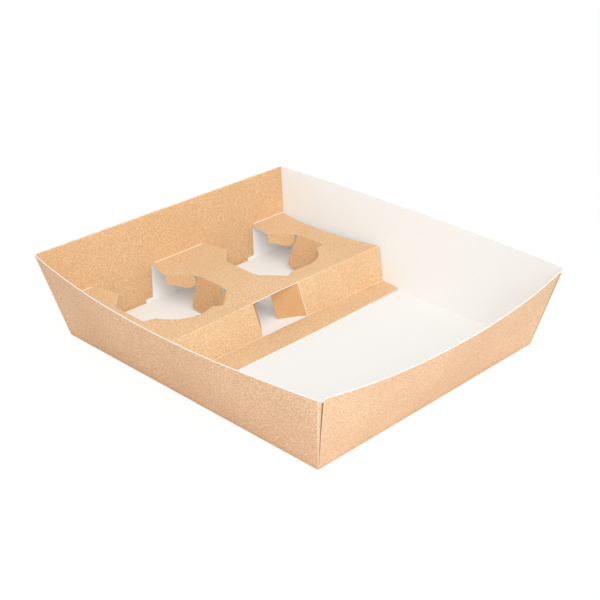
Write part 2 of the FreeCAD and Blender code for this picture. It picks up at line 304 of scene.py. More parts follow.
def pull(piece, place, mark=None, value=1.0):
    """Extrude the marked edges and set each new point by where its old one was."""
    bpy.ops.mesh.extrude_edges_move(TRANSFORM_OT_translate={"value": (0, 0, 0)})
    mesh = bmesh.from_edit_mesh(piece.data)
    layer = marks(mesh, mark) if mark else None
    creased = marks(mesh, "fold")
    for vertex in mesh.verts:
        if vertex.select:
            vertex.co = place(vertex.co.copy())
            vertex[creased] = 0.0
            if mark:
                vertex[layer] = value
    bmesh.update_edit_mesh(piece.data)


def tab(piece, start, end, down, depth_at, inset_at=lambda share: 0.0, rows=TAB_ROWS, lean=0.0,
        foot_inset=None, shade=0.5):
    """Pull a tab out of a crease: depth by the place along it, ends drawn in by the inset.

    lean carries its far end outwards as it goes down; shade is how much painted shade goes into the
    tab's colour.
    """
    across = end - start
    span = across.length
    across.normalize()

    def on_crease(point):
        place = (point - start).dot(across)
        off = point - start - across * place
        return -CLOSE < place < span + CLOSE and off.length < CLOSE

    if not mark_edges(piece, on_crease):
        raise RuntimeError(f"{piece.name} has no crease at {tuple(start)}")
    places = {}
    for share in [TAB_FIRST_ROW] + spread(0, 1, rows)[1:]:
        inset = inset_at(share)
        low_inset = foot_inset(share) if foot_inset else inset

        def step(point):
            first = places.get(spot(point), (point - start).dot(across))
            place = min(max(first, low_inset), span - inset)
            over = lean * share * (first / span) ** 2
            new = start + across * (place + over) + down * depth_at(place) * share
            fresh[spot(new)] = first
            return new

        fresh = {}
        # the mark sets how much painted shade the tab's colour gets
        pull(piece, step, "inward", shade)
        places = fresh


def bend(point):
    """The slight unevenness of a panel that has been folded by hand."""
    return noise.noise(point / WARP_SCALE) * WARP


# The tray: floor and four flared walls, pulled up from the floor panel

def side_flare(share):
    """How far a side wall leans out at its rim, at a share from -1 to 1 along the tray."""
    return (REAR_SIDE_FLARE * (1 - share) + FRONT_SIDE_FLARE * (1 + share)) / 2


def rim_height(share, along_side):
    if along_side:
        start = REAR_HEIGHT - ROLL
        line = start + (FRONT_HEIGHT - start) * (share + 1) / 2
        return line - SIDE_DIP * (1 - share ** 2)
    return FRONT_HEIGHT - FRONT_DIP * (1 - share ** 2)


def in_notch(reach):
    """The share of the notch's depth at a distance from the open end's corner."""
    if reach < GAP_NEAR:
        return reach / GAP_NEAR
    return 1 - share_of(reach, GAP_FAR, NOTCH_REACH)


def wall_point(x, y, rise):
    """A point of a wall: where it starts on the floor's edge, and its share of the way up."""
    share_x = (x - FLOOR_MIDDLE) / HALF_LENGTH
    share_y = y / HALF_WIDTH
    on_side = abs(abs(share_y) - 1) < SAME_SHARE
    on_rear = abs(share_x + 1) < SAME_SHARE
    on_front = abs(share_x - 1) < SAME_SHARE
    if on_rear:
        height = REAR_HEIGHT - ROLL
    elif on_side:
        height = rim_height(share_x, True)
    else:
        height = rim_height(share_y, False)
    reach = HALF_WIDTH - abs(y)
    sunk = 0.0
    if on_front:
        height -= NOTCH_DEPTH * in_notch(reach)
        closing = GAP_CLOSING * (1 - rise) * (1 - eased(reach, NOTCH_REACH, 3 * NOTCH_REACH))
        share_y = outward(1 - reach * (1 - closing) / HALF_WIDTH, y)
        if GAP_NEAR - CLOSE < reach < GAP_FAR + CLOSE:
            sunk = GAP_DEPTH * (1 - closing)
    z = height * rise
    rear = FLOOR_REAR - REAR_FLARE * z / REAR_HEIGHT
    front = FLOOR_FRONT + FRONT_FLARE * z / FRONT_HEIGHT
    half = HALF_WIDTH + side_flare(share_x) * z / MIDDLE_HEIGHT
    new_x = rear + (front - rear) * (share_x + 1) / 2
    new_y = half * share_y
    off_corner = (1 - share_x ** 2) if on_side else (1 - share_y ** 2)
    if on_side and not on_rear and not on_front:
        new_y += outward(SIDE_BOW * z / MIDDLE_HEIGHT * off_corner, y)
    if on_front:
        new_x += FRONT_BOW * z / FRONT_HEIGHT * off_corner - sunk
    point = Vector((new_x, new_y, z))
    if y < 0 and not on_rear:
        away = max(FLOOR_FRONT - x, HALF_WIDTH + y)
        point += CORNER_PULL * rise * (1 - eased(away, 0, CORNER_PULL_REACH))
    uneven = bend(point) * min(off_corner * STIFF_CORNER, 1) * math.sin(math.pi * rise / 2)
    if on_side:
        point.y += outward(uneven, y)
    else:
        point.x += uneven
    return point


def make_tray():
    lines_x = spread(FLOOR_REAR, FLOOR_FRONT, TRAY_COLUMNS[0])[1:-1]
    bright_edge = GAP_FAR + GAP_SLOPE
    reaches = (GAP_NEAR - GAP_SLOPE, GAP_NEAR, GAP_FAR, bright_edge, NOTCH_REACH)
    beside = [HALF_WIDTH - reach for reach in reaches]
    lines_y = spread(-HALF_WIDTH, HALF_WIDTH, TRAY_COLUMNS[1])[1:-1]
    lines_y = around(lines_y, beside + [-line for line in beside])
    corners = (FLOOR_REAR, -HALF_WIDTH), (FLOOR_FRONT, HALF_WIDTH)
    tray = flat_panel("tray", *corners, lines_x, lines_y)
    bpy.ops.mesh.select_all(action="SELECT")
    bpy.ops.mesh.flip_normals()
    mark_edges(tray, lambda point: True)
    starts, origins = {}, {}
    mesh = bmesh.from_edit_mesh(tray.data)
    for vertex in mesh.verts:
        if abs(vertex.co.x - FLOOR_FRONT) < CLOSE:
            first = (vertex.co.x, vertex.co.y)
            vertex.co.y = wall_point(*first, 0).y
            starts[spot(vertex.co)] = first
    bmesh.update_edit_mesh(tray.data)
    for rise in spread(0, 1 - RIM_BAND / MIDDLE_HEIGHT, WALL_ROWS)[1:] + [1]:
        def raised(point):
            first = starts.get(spot(point), (point.x, point.y))
            new = wall_point(*first, rise)
            fresh[spot(new)] = first
            return new

        fresh = {}
        pull(tray, raised)
        starts = fresh
        origins.update(fresh)
    mesh = bmesh.from_edit_mesh(tray.data)
    worn, dark = marks(mesh, "rim"), marks(mesh, "gap")
    for vertex in mesh.verts:
        x, y = origins.get(spot(vertex.co), (0, 0))
        reach = HALF_WIDTH - abs(y)
        if abs(x - FLOOR_FRONT) < CLOSE:
            # the strip over the lap's gap gets a painted shadow
            if GAP_NEAR - CLOSE < reach < GAP_FAR + CLOSE:
                vertex[dark] = 1.0
            elif abs(reach - bright_edge) < CLOSE:
                vertex[worn] = LAP_EDGE_WEAR
        at_rear = abs(vertex.co.z - (REAR_HEIGHT - ROLL)) < CLOSE
        if vertex.is_boundary and not at_rear:
            vertex[worn] = 1.0
    bmesh.update_edit_mesh(tray.data)
    done()
    return tray


# The cup wall's lining: from the deck's rear fold up to the rim and over it

UP_WALL = Vector((-REAR_FLARE, 0, REAR_HEIGHT)).normalized()
OFF_WALL = Vector((UP_WALL.z, 0, -UP_WALL.x))
REAR_TOP = REAR_HEIGHT - ROLL * (1 + OFF_WALL.z)


def wall_face(height, depth=0.0):
    point = Vector((FLOOR_REAR - REAR_FLARE * height / REAR_HEIGHT, 0, height))
    return point + OFF_WALL * depth


def lining_end(height):
    return HALF_WIDTH + REAR_SIDE_FLARE * height / REAR_HEIGHT - SHEET - END_GAP


def make_lining():
    foot = Vector((DECK_REAR, 0, DECK_HEIGHT))
    top = wall_face(REAR_TOP, 2 * ROLL)
    centre = wall_face(REAR_TOP, ROLL)
    length = (top - foot).length
    end = lining_end(DECK_HEIGHT)
    edges = []
    for y in CUP_Y.values():
        for reach in (TONGUE_HALF, (TONGUE_FOOT - TONGUE_NOTCH) * TONGUE_HALF / TONGUE_FOOT):
            edges += [y - reach, y + reach]
    lines_y = around(spread(-end, end, LINING_COLUMNS[1])[1:-1], edges)
    lines_x = [FOLD_BAND, 2 * FOLD_BAND] + spread(0, length, LINING_COLUMNS[0])[1:-1]
    lining = flat_panel("lining", (0, -end), (length, end), lines_x, lines_y)
    mesh = bmesh.from_edit_mesh(lining.data)
    creased = marks(mesh, "fold")
    for vertex in mesh.verts:
        in_tongue = any(abs(vertex.co.y - y) < TONGUE_HALF + CLOSE for y in CUP_Y.values())
        # the lining's fold is marked for the pale fold line and its painted highlight
        if vertex.co.x < FOLD_BAND + CLOSE and not in_tongue:
            vertex[creased] = 1.0
        share = vertex.co.x / length
        point = foot.lerp(top, share)
        point.y = vertex.co.y * lining_end(point.z) / end
        vertex.co = point + OFF_WALL * bend(point) * math.sin(math.pi * share)
    bmesh.update_edit_mesh(lining.data)
    bpy.ops.mesh.select_all(action="SELECT")
    bpy.ops.mesh.flip_normals()
    mark_edges(lining, lambda point: abs(point.z - top.z) < CLOSE)
    for angle in spread(0, math.pi, ROLL_ROWS)[1:]:
        spoke = OFF_WALL * math.cos(angle) + UP_WALL * math.sin(angle)

        def over(point):
            new = centre + spoke * ROLL
            new.y = point.y
            return new

        pull(lining, over)
    down = UP_WALL * -1
    floor_run = (DECK_HEIGHT - SHEET) / UP_WALL.z
    for y in CUP_Y.values():
        start = foot + Vector((0, y - TONGUE_HALF, 0))
        end_point = foot + Vector((0, y + TONGUE_HALF, 0))
        notch = floor_run - NOTCH_HEIGHT
        taper = TONGUE_HALF - TONGUE_FOOT
        tongue(lining, start, end_point, down, notch, taper)
        inside = TONGUE_FOOT - TONGUE_NOTCH
        low = foot + down * notch
        left, right = (low + Vector((0, y + reach, 0)) for reach in (-inside, inside))
        tab(lining, left, right, down, lambda place: NOTCH_HEIGHT, rows=1)
    done()
    return lining


def tongue(piece, start, end, down, depth, taper):
    """The wide tab that comes straight down from the lining, a little narrower at its foot."""
    middle = (start + end) / 2
    width = (end - start).length
    narrow = 1 - 2 * taper / width
    mark_edges(piece, lambda point: abs(point.z - start.z) < CLOSE
               and start.y - CLOSE < point.y < end.y + CLOSE)
    for row in range(1, TAB_ROWS + 1):
        was = 1 + (narrow - 1) * (row - 1) / TAB_ROWS
        now = 1 + (narrow - 1) * row / TAB_ROWS

        def lower(point):
            new = start + down * depth * row / TAB_ROWS
            new.y = middle.y + (point.y - middle.y) * now / was
            return new

        pull(piece, lower)


# The deck with its two cup openings, the riser with its window, and the glued flange

def wall_half(x, height):
    """The room from the middle to a side wall, at a place along the tray and a height."""
    share = (x - FLOOR_MIDDLE) / HALF_LENGTH
    lean = (side_flare(share) + SIDE_BOW * (1 - share ** 2)) * height / MIDDLE_HEIGHT
    return HALF_WIDTH + lean - SHEET - END_GAP


def crease_point(along, front):
    forward = (CREASE_REACH - along) * DIAGONAL
    return (forward if front else -forward, (CREASE_REACH + along) * DIAGONAL)


def opening_path(cup, inner):
    """One opening's cut line from its rear inner corner round to its rear outer corner."""
    arc_outer = -math.acos(FRONT_EDGE / CUP_RADIUS)
    path = [
        (DECK_REAR - CUP_X, TONGUE_HALF),
        crease_point(REAR_START, False),
        crease_point(CREASE_END, False),
        (LEG_REAR, SIDE_REACH),
        (LEG_FRONT, SIDE_REACH),
        crease_point(CREASE_END, True),
        crease_point(FRONT_START, True),
    ]
    for angle in spread(OCTAGON_HALF, arc_outer, ARC_STEPS):
        path.append((CUP_RADIUS * math.cos(angle), CUP_RADIUS * math.sin(angle)))
    rear_outer = [crease_point(CREASE_END, True), crease_point(REAR_START, True)]
    path += [(LEG_FRONT, -SIDE_REACH), (LEG_REAR, -SIDE_REACH)]
    path += [(-forward, -sideways) for forward, sideways in rear_outer]
    path.append((DECK_REAR - CUP_X, -TONGUE_HALF))
    return [(CUP_X + forward, CUP_Y[cup] + inner * sideways) for forward, sideways in path]


def deck_end(side):
    """The hollow line of one end of the deck, from the rear to the front."""
    rear, front = wall_half(DECK_REAR, DECK_HEIGHT), wall_half(DECK_FRONT, DECK_HEIGHT)
    points = []
    for x in spread(DECK_REAR, DECK_FRONT, ARC_STEPS):
        share = (x - DECK_REAR) / (DECK_FRONT - DECK_REAR)
        half = rear + (front - rear) * share - 4 * DECK_END_HOLLOW * share * (1 - share)
        half -= RISER_END_GAP * share ** 3
        points.append((x, side * half))
    return points


def make_deck():
    path = deck_end(-1)
    path += deck_end(1)[::-1]
    path += opening_path("far", -1)[::-1]
    path += opening_path("near", 1)
    deck = die_cut("deck", path, DECK_HEIGHT)
    lines_x = spread(DECK_REAR, DECK_FRONT, DECK_COLUMNS[0])[1:-1]
    cut_lines(0, lines_x + [DECK_FRONT - FOLD_BAND])
    beside = [WINDOW_LEFT - FOLD_BAND, WINDOW_RIGHT + FOLD_BAND]
    lines_y = around(spread(-DECK_LINES_TO, DECK_LINES_TO, DECK_COLUMNS[1]), beside)
    cut_lines(1, lines_y + [WINDOW_LEFT, WINDOW_RIGHT])
    cut_lines(1, END_LINES + [-line for line in END_LINES])
    bpy.ops.mesh.select_all(action="SELECT")
    bpy.ops.mesh.remove_doubles(threshold=CLOSE)

    foot = Vector((DECK_FRONT + RISER_LEAN, 0, 2 * SHEET))
    front = Vector((DECK_FRONT, 0, DECK_HEIGHT))
    slope = foot - front
    fold_riser(deck, front, slope)
    fold_flange(deck, foot)
    cut_window(deck, foot)
    for cup, y in CUP_Y.items():
        inner = 1 if cup == "near" else -1
        for place, toward in (("inner", inner), ("outer", -inner)):
            leg(deck, y, toward, FOLD[cup][f"{place}_leg"])
            slant_tab(deck, y, toward, False, REAR_START, FOLD["rear_tab"])
        slant_tab(deck, y, inner, True, FRONT_START, FOLD["front_tab"])
    door(deck, foot, slope, WINDOW_RIGHT, -1, FOLD["right_door"])
    door(deck, foot, slope, WINDOW_LEFT, 1, FOLD["left_door"])

    mesh = bmesh.from_edit_mesh(deck.data)
    creased = marks(mesh, "fold")
    for vertex in mesh.verts:
        # the riser's folds and the doors' hinges are marked for the pale fold line and its painted
        # highlight
        if on_fold(vertex.co, foot):
            vertex[creased] = 1.0
        settle(vertex.co, foot)
    bmesh.update_edit_mesh(deck.data)
    done()
    return deck


def fold_riser(deck, front, slope):
    """Pull the riser down from the deck's front edge, row by row, clear of the side walls."""
    top_end = was = wall_half(DECK_FRONT, DECK_HEIGHT) - RISER_END_GAP
    mark_edges(deck, lambda point: abs(point.x - DECK_FRONT) < CLOSE)
    by_fold = FOLD_BAND / slope.length
    for share in [by_fold] + spread(0, 1, RISER_ROWS)[1:-1] + [1 - by_fold, 1]:
        line = front + slope * share
        end = wall_half(line.x, line.z) - RISER_END_GAP * (1 - share)

        def descend(point):
            draw_in = (was - end) * eased(abs(point.y), RISER_NARROWS_FROM, top_end)
            return Vector((line.x, point.y - outward(draw_in, point.y), line.z))

        pull(deck, descend)
        was = end


def fold_flange(deck, foot):
    """Pull the flange forward over the floor; its two free corners are round."""
    straight = FLANGE_DEPTH - FLANGE_CORNER
    turns = spread(0, math.pi / 2, CORNER_ROWS)[1:]
    rounded = [FLANGE_DEPTH - FLANGE_CORNER * (1 - math.sin(turn)) for turn in turns]
    inset = 0.0
    for run in FLANGE_ROWS + [straight] + rounded:
        past = max(run - straight, 0)
        was, inset = inset, FLANGE_CORNER - math.sqrt(FLANGE_CORNER ** 2 - past ** 2)

        def glue_down(point):
            by_corner = eased(abs(point.y), FLANGE_CORNER_FROM, FLANGE_CORNER_TO)
            draw_in = (inset - was) * by_corner
            return Vector((foot.x + run, point.y - outward(draw_in, point.y), foot.z))

        pull(deck, glue_down)


def cut_window(deck, foot):
    middle_x = (DECK_FRONT + foot.x) / 2
    mark_faces(deck, lambda c: abs(c.x - middle_x) < RISER_LEAN / 2
               and foot.z + CLOSE < c.z < DECK_HEIGHT - CLOSE
               and WINDOW_LEFT < c.y < WINDOW_RIGHT)
    bpy.ops.mesh.delete(type="FACE")


def on_riser(point, foot):
    return DECK_FRONT - CLOSE < point.x < foot.x + CLOSE


def on_fold(point, foot):
    """Whether a point is on the riser's two long folds or on a door's hinge."""
    by_hinge = min(abs(point.y - hinge) for hinge in (WINDOW_LEFT, WINDOW_RIGHT)) < CLOSE
    at_end = point.z > DECK_HEIGHT - CLOSE or point.x > foot.x - CLOSE
    return on_riser(point, foot) and (at_end or by_hinge)


def settle(point, foot):
    """Move a point of the deck to where the hand-folded board has come to rest."""
    in_riser = on_riser(point, foot)
    if on_fold(point, foot) and abs(point.y) < RISER_END_FROM:
        point.z += noise.noise(point / FOLD_WAVER_SCALE) * FOLD_WAVER
    was_y = point.y
    drop = min(point.z / DECK_HEIGHT, 1)
    if point.x > DECK_FRONT - CLOSE:
        on_flange = max(point.x - foot.x, 0) / FLANGE_DEPTH
        ends = share_of(abs(was_y), RISER_END_FROM, RISER_END_TO)
        ends *= 1 - share_of(point.z, foot.z, DECK_HEIGHT)
        along = share_of(was_y, SKEW_FROM, SKEW_TO)
        free_edge = FREE_EDGE_LIFT * along ** 2 * on_flange
        point.z += FLANGE_LIFT * (ends * (1 - on_flange) + free_edge)
        point.x += RISER_END_FORWARD * ends * (1 - on_flange) - FLANGE_SKEW * along * on_flange
        point.y += outward(RISER_END_OUT, was_y) * ends
    elif point.z > DECK_HEIGHT - CLOSE:
        point.z += bend(point) * min((DECK_FRONT - point.x) / DECK_LEVELS_OUT, 1)
    near_front = eased(point.x, DECK_FRONT - SAG_DEPTH, DECK_FRONT)
    if in_riser or point.z > DECK_HEIGHT - MM:
        point.z -= DECK_SAG * eased(-was_y, SAG_FROM, SAG_TO) * near_front * drop
    if point.x > DECK_FRONT - LEAN_STARTS and point.z < DECK_HEIGHT + MM:
        by_window = 1 - eased(abs(was_y - WINDOW_MIDDLE), LEAN_FULL, LEAN_NONE)
        by_front = eased(point.x, DECK_FRONT - LEAN_STARTS, DECK_FRONT - LEAN_ENDS)
        point.y -= WINDOW_LEAN * drop * by_window * by_front


def folded(direction, degrees):
    angle = math.radians(degrees)
    return direction * math.cos(angle) - Vector((0, 0, 1)) * math.sin(angle)


def leg(deck, y, toward, degrees):
    """The long tab beside the cup, with rounded corners."""
    start = Vector((CUP_X + LEG_REAR, y + toward * SIDE_REACH, DECK_HEIGHT))
    end = Vector((CUP_X + LEG_FRONT, y + toward * SIDE_REACH, DECK_HEIGHT))

    def rounded(share):
        left = LEG_LENGTH * (1 - share)
        if left >= LEG_CORNER:
            return 0.0
        return LEG_CORNER - math.sqrt(LEG_CORNER ** 2 - (LEG_CORNER - left) ** 2)

    down = folded(Vector((0, -toward, 0)), degrees)
    tab(deck, start, end, down, lambda place: LEG_LENGTH, rounded, rows=LEG_ROWS)


def slant_tab(deck, y, toward, front, first, degrees):
    """A tab on a slanting crease; its free edge follows the cup."""
    def at(along):
        forward, sideways = crease_point(along, front)
        return Vector((CUP_X + forward, y + toward * sideways, DECK_HEIGHT))

    inward = Vector((-1 if front else 1, -toward, 0)).normalized()
    span = CREASE_END - first

    def depth(place):
        reach = math.sqrt((CUP_RADIUS - TAB_BITE) ** 2 - (first + place) ** 2)
        if front:
            return CREASE_REACH - reach
        dip = TAB_DIP * eased(place / span, *DIP_BETWEEN)
        return CREASE_REACH - reach + dip - TAB_SHORT * eased(place / span, *SHORT_BETWEEN)

    tab(deck, at(first), at(CREASE_END), folded(inward, degrees), depth,
        lambda share: TAB_INSET * share, lean=0.0 if front else TAB_LEAN)


def door(deck, foot, slope, y, toward, degrees):
    """One door of the window, pushed in under the deck."""
    rise = -slope.normalized()
    off_riser = Vector((rise.z, 0, -rise.x))
    angle = math.radians(degrees)
    along = Vector((0, toward * math.cos(angle), 0)) - off_riser * math.sin(angle)
    start = foot + Vector((0, y, 0))
    end = start - slope
    sinks = -along.z * DOOR_WIDTH / rise.z

    def over_floor(share):
        return (sinks - DOOR_FOOT_DROP) * share + SHEET

    # the door gets the full painted shade of a tab pushed inwards
    tab(deck, start, end, along, lambda place: DOOR_WIDTH, lambda share: SHEET,
        foot_inset=over_floor, shade=1.0)


def dress(piece, face):
    """Round the folds, give the board its thickness and its three finishes."""
    bpy.ops.object.select_all(action="DESELECT")
    bpy.context.view_layer.objects.active = piece
    piece.select_set(True)
    # the rounded folds take the paler kraft with its painted highlight and the darker white with its
    # painted shade
    for finish in (face, fold_kraft, white, white_fold_shade, core, core):
        piece.data.materials.append(finish)
    crease = piece.modifiers.new("creases", "BEVEL")
    crease.width = CREASE_ROUNDING
    crease.segments = 2
    crease.limit_method = "ANGLE"
    crease.angle_limit = CREASE_ANGLE
    crease.material = 1
    board = piece.modifiers.new("board", "SOLIDIFY")
    board.thickness = FLUFFED_SHEET
    board.offset = -1
    board.use_even_offset = True
    board.material_offset = 2
    board.material_offset_rim = 4
    for modifier in ("creases", "board"):
        bpy.ops.object.modifier_apply(modifier=modifier)
    for vertex in piece.data.vertices:
        if vertex.co.z < -CLOSE:
            vertex.co.z = SHEET / 2
    bpy.ops.object.shade_smooth_by_angle(angle=SMOOTH_ANGLE)
    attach(piece, "root")
    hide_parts("cup_tray")


# Finishes

def new_group(name, inputs, outputs):
    group = bpy.data.node_groups.new(name, "ShaderNodeTree")
    for label, kind, value in inputs:
        socket = group.interface.new_socket(name=label, in_out="INPUT", socket_type=kind)
        socket.default_value = value
    for label, kind in outputs:
        group.interface.new_socket(name=label, in_out="OUTPUT", socket_type=kind)
    return group, group.nodes.new("NodeGroupInput"), group.nodes.new("NodeGroupOutput")


def add(tree, kind, **values):
    node = tree.nodes.new(kind)
    for key, value in values.items():
        setattr(node, key, value)
    return node


def feed(tree, socket, value):
    """Put a number in a socket, or join another node's output to it."""
    if isinstance(value, (int, float)):
        socket.default_value = value
    else:
        tree.links.new(value, socket)


def maths(tree, operation, *values):
    node = add(tree, "ShaderNodeMath", operation=operation)
    for socket, value in zip(node.inputs, values):
        feed(tree, socket, value)
    return node.outputs[0]


def window(tree, value, low, high, to_low=0.0, to_high=1.0):
    node = add(tree, "ShaderNodeMapRange", clamp=True, interpolation_type="SMOOTHSTEP")
    tree.links.new(value, node.inputs["Value"])
    limits = {"From Min": low, "From Max": high, "To Min": to_low, "To Max": to_high}
    for label, number in limits.items():
        node.inputs[label].default_value = number
    return node.outputs["Result"]


def noise_at(tree, place, scale, detail=2.0, roughness=0.5):
    node = add(tree, "ShaderNodeTexNoise")
    node.inputs["Detail"].default_value = detail
    node.inputs["Roughness"].default_value = roughness
    tree.links.new(place, node.inputs["Vector"])
    feed(tree, node.inputs["Scale"], scale)
    return node.outputs["Fac"]


# Noise scales per metre, the fibres' stretch along the sheet, and how much each layer tints it
FIBRE_SCALE = 900.0
STRETCH = (0.62, 1.5, 0.62)
GRAIN_SCALE = 2100.0
SPECK_SCALE = 1300.0
PATCH_SCALE = 26.0
RAGGED_SCALE = 210.0
PATCH_SHARE = 0.22
# how much of the painted shade colour the tabs pushed inwards get
TAB_SHADE_SHARE = 0.75
SPECK_SHARE = 0.5
# how far to each side the painted light under the deck reaches
COVERED_HALF = 106 * MM
SHEEN = 0.2
ROUGH_SPREAD = 0.06
GRAIN_DEPTH = 0.1 * MM


def grain_group():
    """Paper fibres, fine grain, small specks and slow patches of tone, by place on the object."""
    group, entry, result = new_group(
        "paper_grain",
        [("Fibre Scale", "NodeSocketFloat", FIBRE_SCALE)],
        [("Fibre", "NodeSocketFloat"), ("Grain", "NodeSocketFloat"), ("Speck", "NodeSocketFloat"),
         ("Patch", "NodeSocketFloat"), ("Height", "NodeSocketFloat")])
    place = add(group, "ShaderNodeTexCoord").outputs["Object"]
    stretch = add(group, "ShaderNodeMapping")
    stretch.inputs["Scale"].default_value = STRETCH
    group.links.new(place, stretch.inputs["Vector"])
    fibres = noise_at(group, stretch.outputs[0], entry.outputs["Fibre Scale"], 4.0, 0.7)
    fibre = window(group, fibres, 0.32, 0.68)
    fine = noise_at(group, place, GRAIN_SCALE, 3.0, 0.6)
    values = {
        "Fibre": fibre,
        "Grain": window(group, fine, 0.3, 0.7),
        "Speck": window(group, noise_at(group, place, SPECK_SCALE), 0.68, 0.76),
        "Patch": window(group, noise_at(group, place, PATCH_SCALE, 3.0), 0.3, 0.7),
        "Height": maths(group, "ADD", fibre, fine),
    }
    for label, value in values.items():
        group.links.new(value, result.inputs[label])
    return group


def crease_group():
    """A pressed fold: a pale line that wavers and breaks up along its length, partly the stressed
    fibres' own colour and partly a painted highlight.
    """
    group, entry, result = new_group(
        "pressed_fold_and_highlight", [("Line", "NodeSocketFloat", 0.0)], [("Mask", "NodeSocketFloat")])
    place = add(group, "ShaderNodeTexCoord").outputs["Object"]
    waver = noise_at(group, place, RAGGED_SCALE, 3.0, 0.6)
    ragged = maths(group, "MULTIPLY", entry.outputs["Line"], maths(group, "ADD", waver, 0.32))
    group.links.new(window(group, ragged, 0.38, 0.84), result.inputs["Mask"])
    return group


grain = grain_group()
pressed_and_highlight = crease_group()


def mix(tree, mask, first, second):
    node = add(tree, "ShaderNodeMix", data_type="RGBA")
    tree.links.new(mask, node.inputs[0])
    for socket, value in ((node.inputs[6], first), (node.inputs[7], second)):
        if isinstance(value, tuple):
            socket.default_value = (*value, 1)
        else:
            tree.links.new(value, socket)
    return node.outputs[2]


def mark_of(tree, name):
    return add(tree, "ShaderNodeAttribute", attribute_name=name).outputs["Fac"]


def under_deck(tree):
    """A mask for what the deck covers, fading out under the riser, where painted light brightens the
    white.
    """
    parts = add(tree, "ShaderNodeSeparateXYZ")
    tree.links.new(add(tree, "ShaderNodeTexCoord").outputs["Object"], parts.inputs[0])
    across = maths(tree, "ABSOLUTE", parts.outputs["Y"])
    under = window(tree, parts.outputs["X"], DECK_FRONT, DECK_FRONT + RISER_LEAN, 1.0, 0.0)
    for value, limit in ((parts.outputs["Z"], DECK_HEIGHT), (across, COVERED_HALF)):
        under = maths(tree, "MULTIPLY", under, maths(tree, "LESS_THAN", value, limit))
    return under


def paper(name, light, dark, speck_colour, scale, bump, roughness,
          worn=None, fold_pale_and_highlight=None, painted_shade=None, painted_light_under_deck=None, line=None):
    """A board finish: grain between two tones, slow patches and specks.

    worn is the colour of a fluffed rim. The next three are the pale line of a pressed fold, partly
    the stressed fibres' own colour and partly a painted highlight; painted shade on the tabs pushed
    inwards and in the lap's gap; and painted light on the board under the deck. line is how
    pressed the board is all over, with its painted highlight; without it the folds are where they
    are marked.
    """
    finish = bpy.data.materials.new(name)
    finish.use_nodes = True
    tree = finish.node_tree
    shader = tree.nodes["Principled BSDF"]
    shader.inputs["Specular IOR Level"].default_value = SHEEN
    detail = add(tree, "ShaderNodeGroup", node_tree=grain)
    detail.inputs["Fibre Scale"].default_value = scale
    fibre = detail.outputs["Fibre"]
    blend_of = maths(tree, "ADD", maths(tree, "MULTIPLY", fibre, 0.5),
                     maths(tree, "MULTIPLY", detail.outputs["Grain"], 0.5))
    tone = mix(tree, window(tree, blend_of, 0.1, 0.9), dark, light)
    patch = maths(tree, "MULTIPLY", detail.outputs["Patch"], PATCH_SHARE)
    tone = mix(tree, patch, tone, dark)
    # painted light: a brighter white on the board under the deck, where the deck's shade falls
    if painted_light_under_deck:
        tone = mix(tree, under_deck(tree), tone, painted_light_under_deck)
    # painted shade: the tabs pushed inwards are coloured darker and browner, as where shade falls on
    # them
    if painted_shade:
        inward = maths(tree, "MULTIPLY", mark_of(tree, "inward"), TAB_SHADE_SHARE)
        tone = mix(tree, inward, tone, painted_shade)
    speck = maths(tree, "MULTIPLY", detail.outputs["Speck"], SPECK_SHARE)
    tone = mix(tree, speck, tone, speck_colour)
    # the pale fold line: partly the stressed fibres' colour, partly a painted highlight
    if fold_pale_and_highlight:
        pressing_and_highlight = add(tree, "ShaderNodeGroup", node_tree=pressed_and_highlight)
        feed(tree, pressing_and_highlight.inputs["Line"], line or mark_of(tree, "fold"))
        tone = mix(tree, pressing_and_highlight.outputs["Mask"], tone, fold_pale_and_highlight)
    # painted shadow along the lap's gap at the open end's corners
    if painted_shade:
        tone = mix(tree, mark_of(tree, "gap"), tone, PAINTED_GAP_SHADOW)
    if worn:
        ragged = maths(tree, "ADD", mark_of(tree, "rim"), maths(tree, "MULTIPLY", fibre, 0.35))
        tone = mix(tree, window(tree, ragged, 0.45, 0.85), tone, worn)
    tree.links.new(tone, shader.inputs["Base Color"])
    rough = window(tree, fibre, 0.0, 1.0, roughness - ROUGH_SPREAD, roughness + ROUGH_SPREAD)
    tree.links.new(rough, shader.inputs["Roughness"])
    relief = add(tree, "ShaderNodeBump")
    relief.inputs["Strength"].default_value = bump
    relief.inputs["Distance"].default_value = GRAIN_DEPTH
    tree.links.new(detail.outputs["Height"], relief.inputs["Height"])
    tree.links.new(relief.outputs["Normal"], shader.inputs["Normal"])
    return finish


WHITE_CORE = (0.90, 0.88, 0.84)
# pale fold colour: stressed fibres and painted highlight
FOLD_PALE_AND_HIGHLIGHT = (0.90, 0.76, 0.60)
# the dark brown of the painted shadow in the lap's gap
PAINTED_GAP_SHADOW = (0.30, 0.15, 0.065)
# the kraft's fluffed rim, its pale fold line with painted highlight, and its painted shade colour
BROWN_FACE = {"worn": WHITE_CORE, "fold_pale_and_highlight": FOLD_PALE_AND_HIGHLIGHT, "painted_shade": (0.64, 0.335, 0.145)}
kraft = paper("kraft", (0.97, 0.675, 0.405), (0.61, 0.36, 0.18), (0.36, 0.19, 0.08),
              1200, 0.3, 0.8, **BROWN_FACE)
# the same kraft, deeper and more saturated on the lining: painted shade with the brown of light
# bounced off the deck
lining_kraft_painted_shade = paper("lining_kraft_painted_shade", (0.91, 0.59, 0.33), (0.57, 0.31, 0.145), (0.34, 0.17, 0.07),
                     1200, 0.3, 0.8, **BROWN_FACE)
# the same kraft on the tray's outside, a little paler and less orange: a painted sheen
outer_kraft_painted_sheen = paper("outer_kraft_painted_sheen", (0.96, 0.665, 0.435), (0.59, 0.345, 0.195), (0.38, 0.21, 0.10),
                    1200, 0.3, 0.7, **BROWN_FACE)
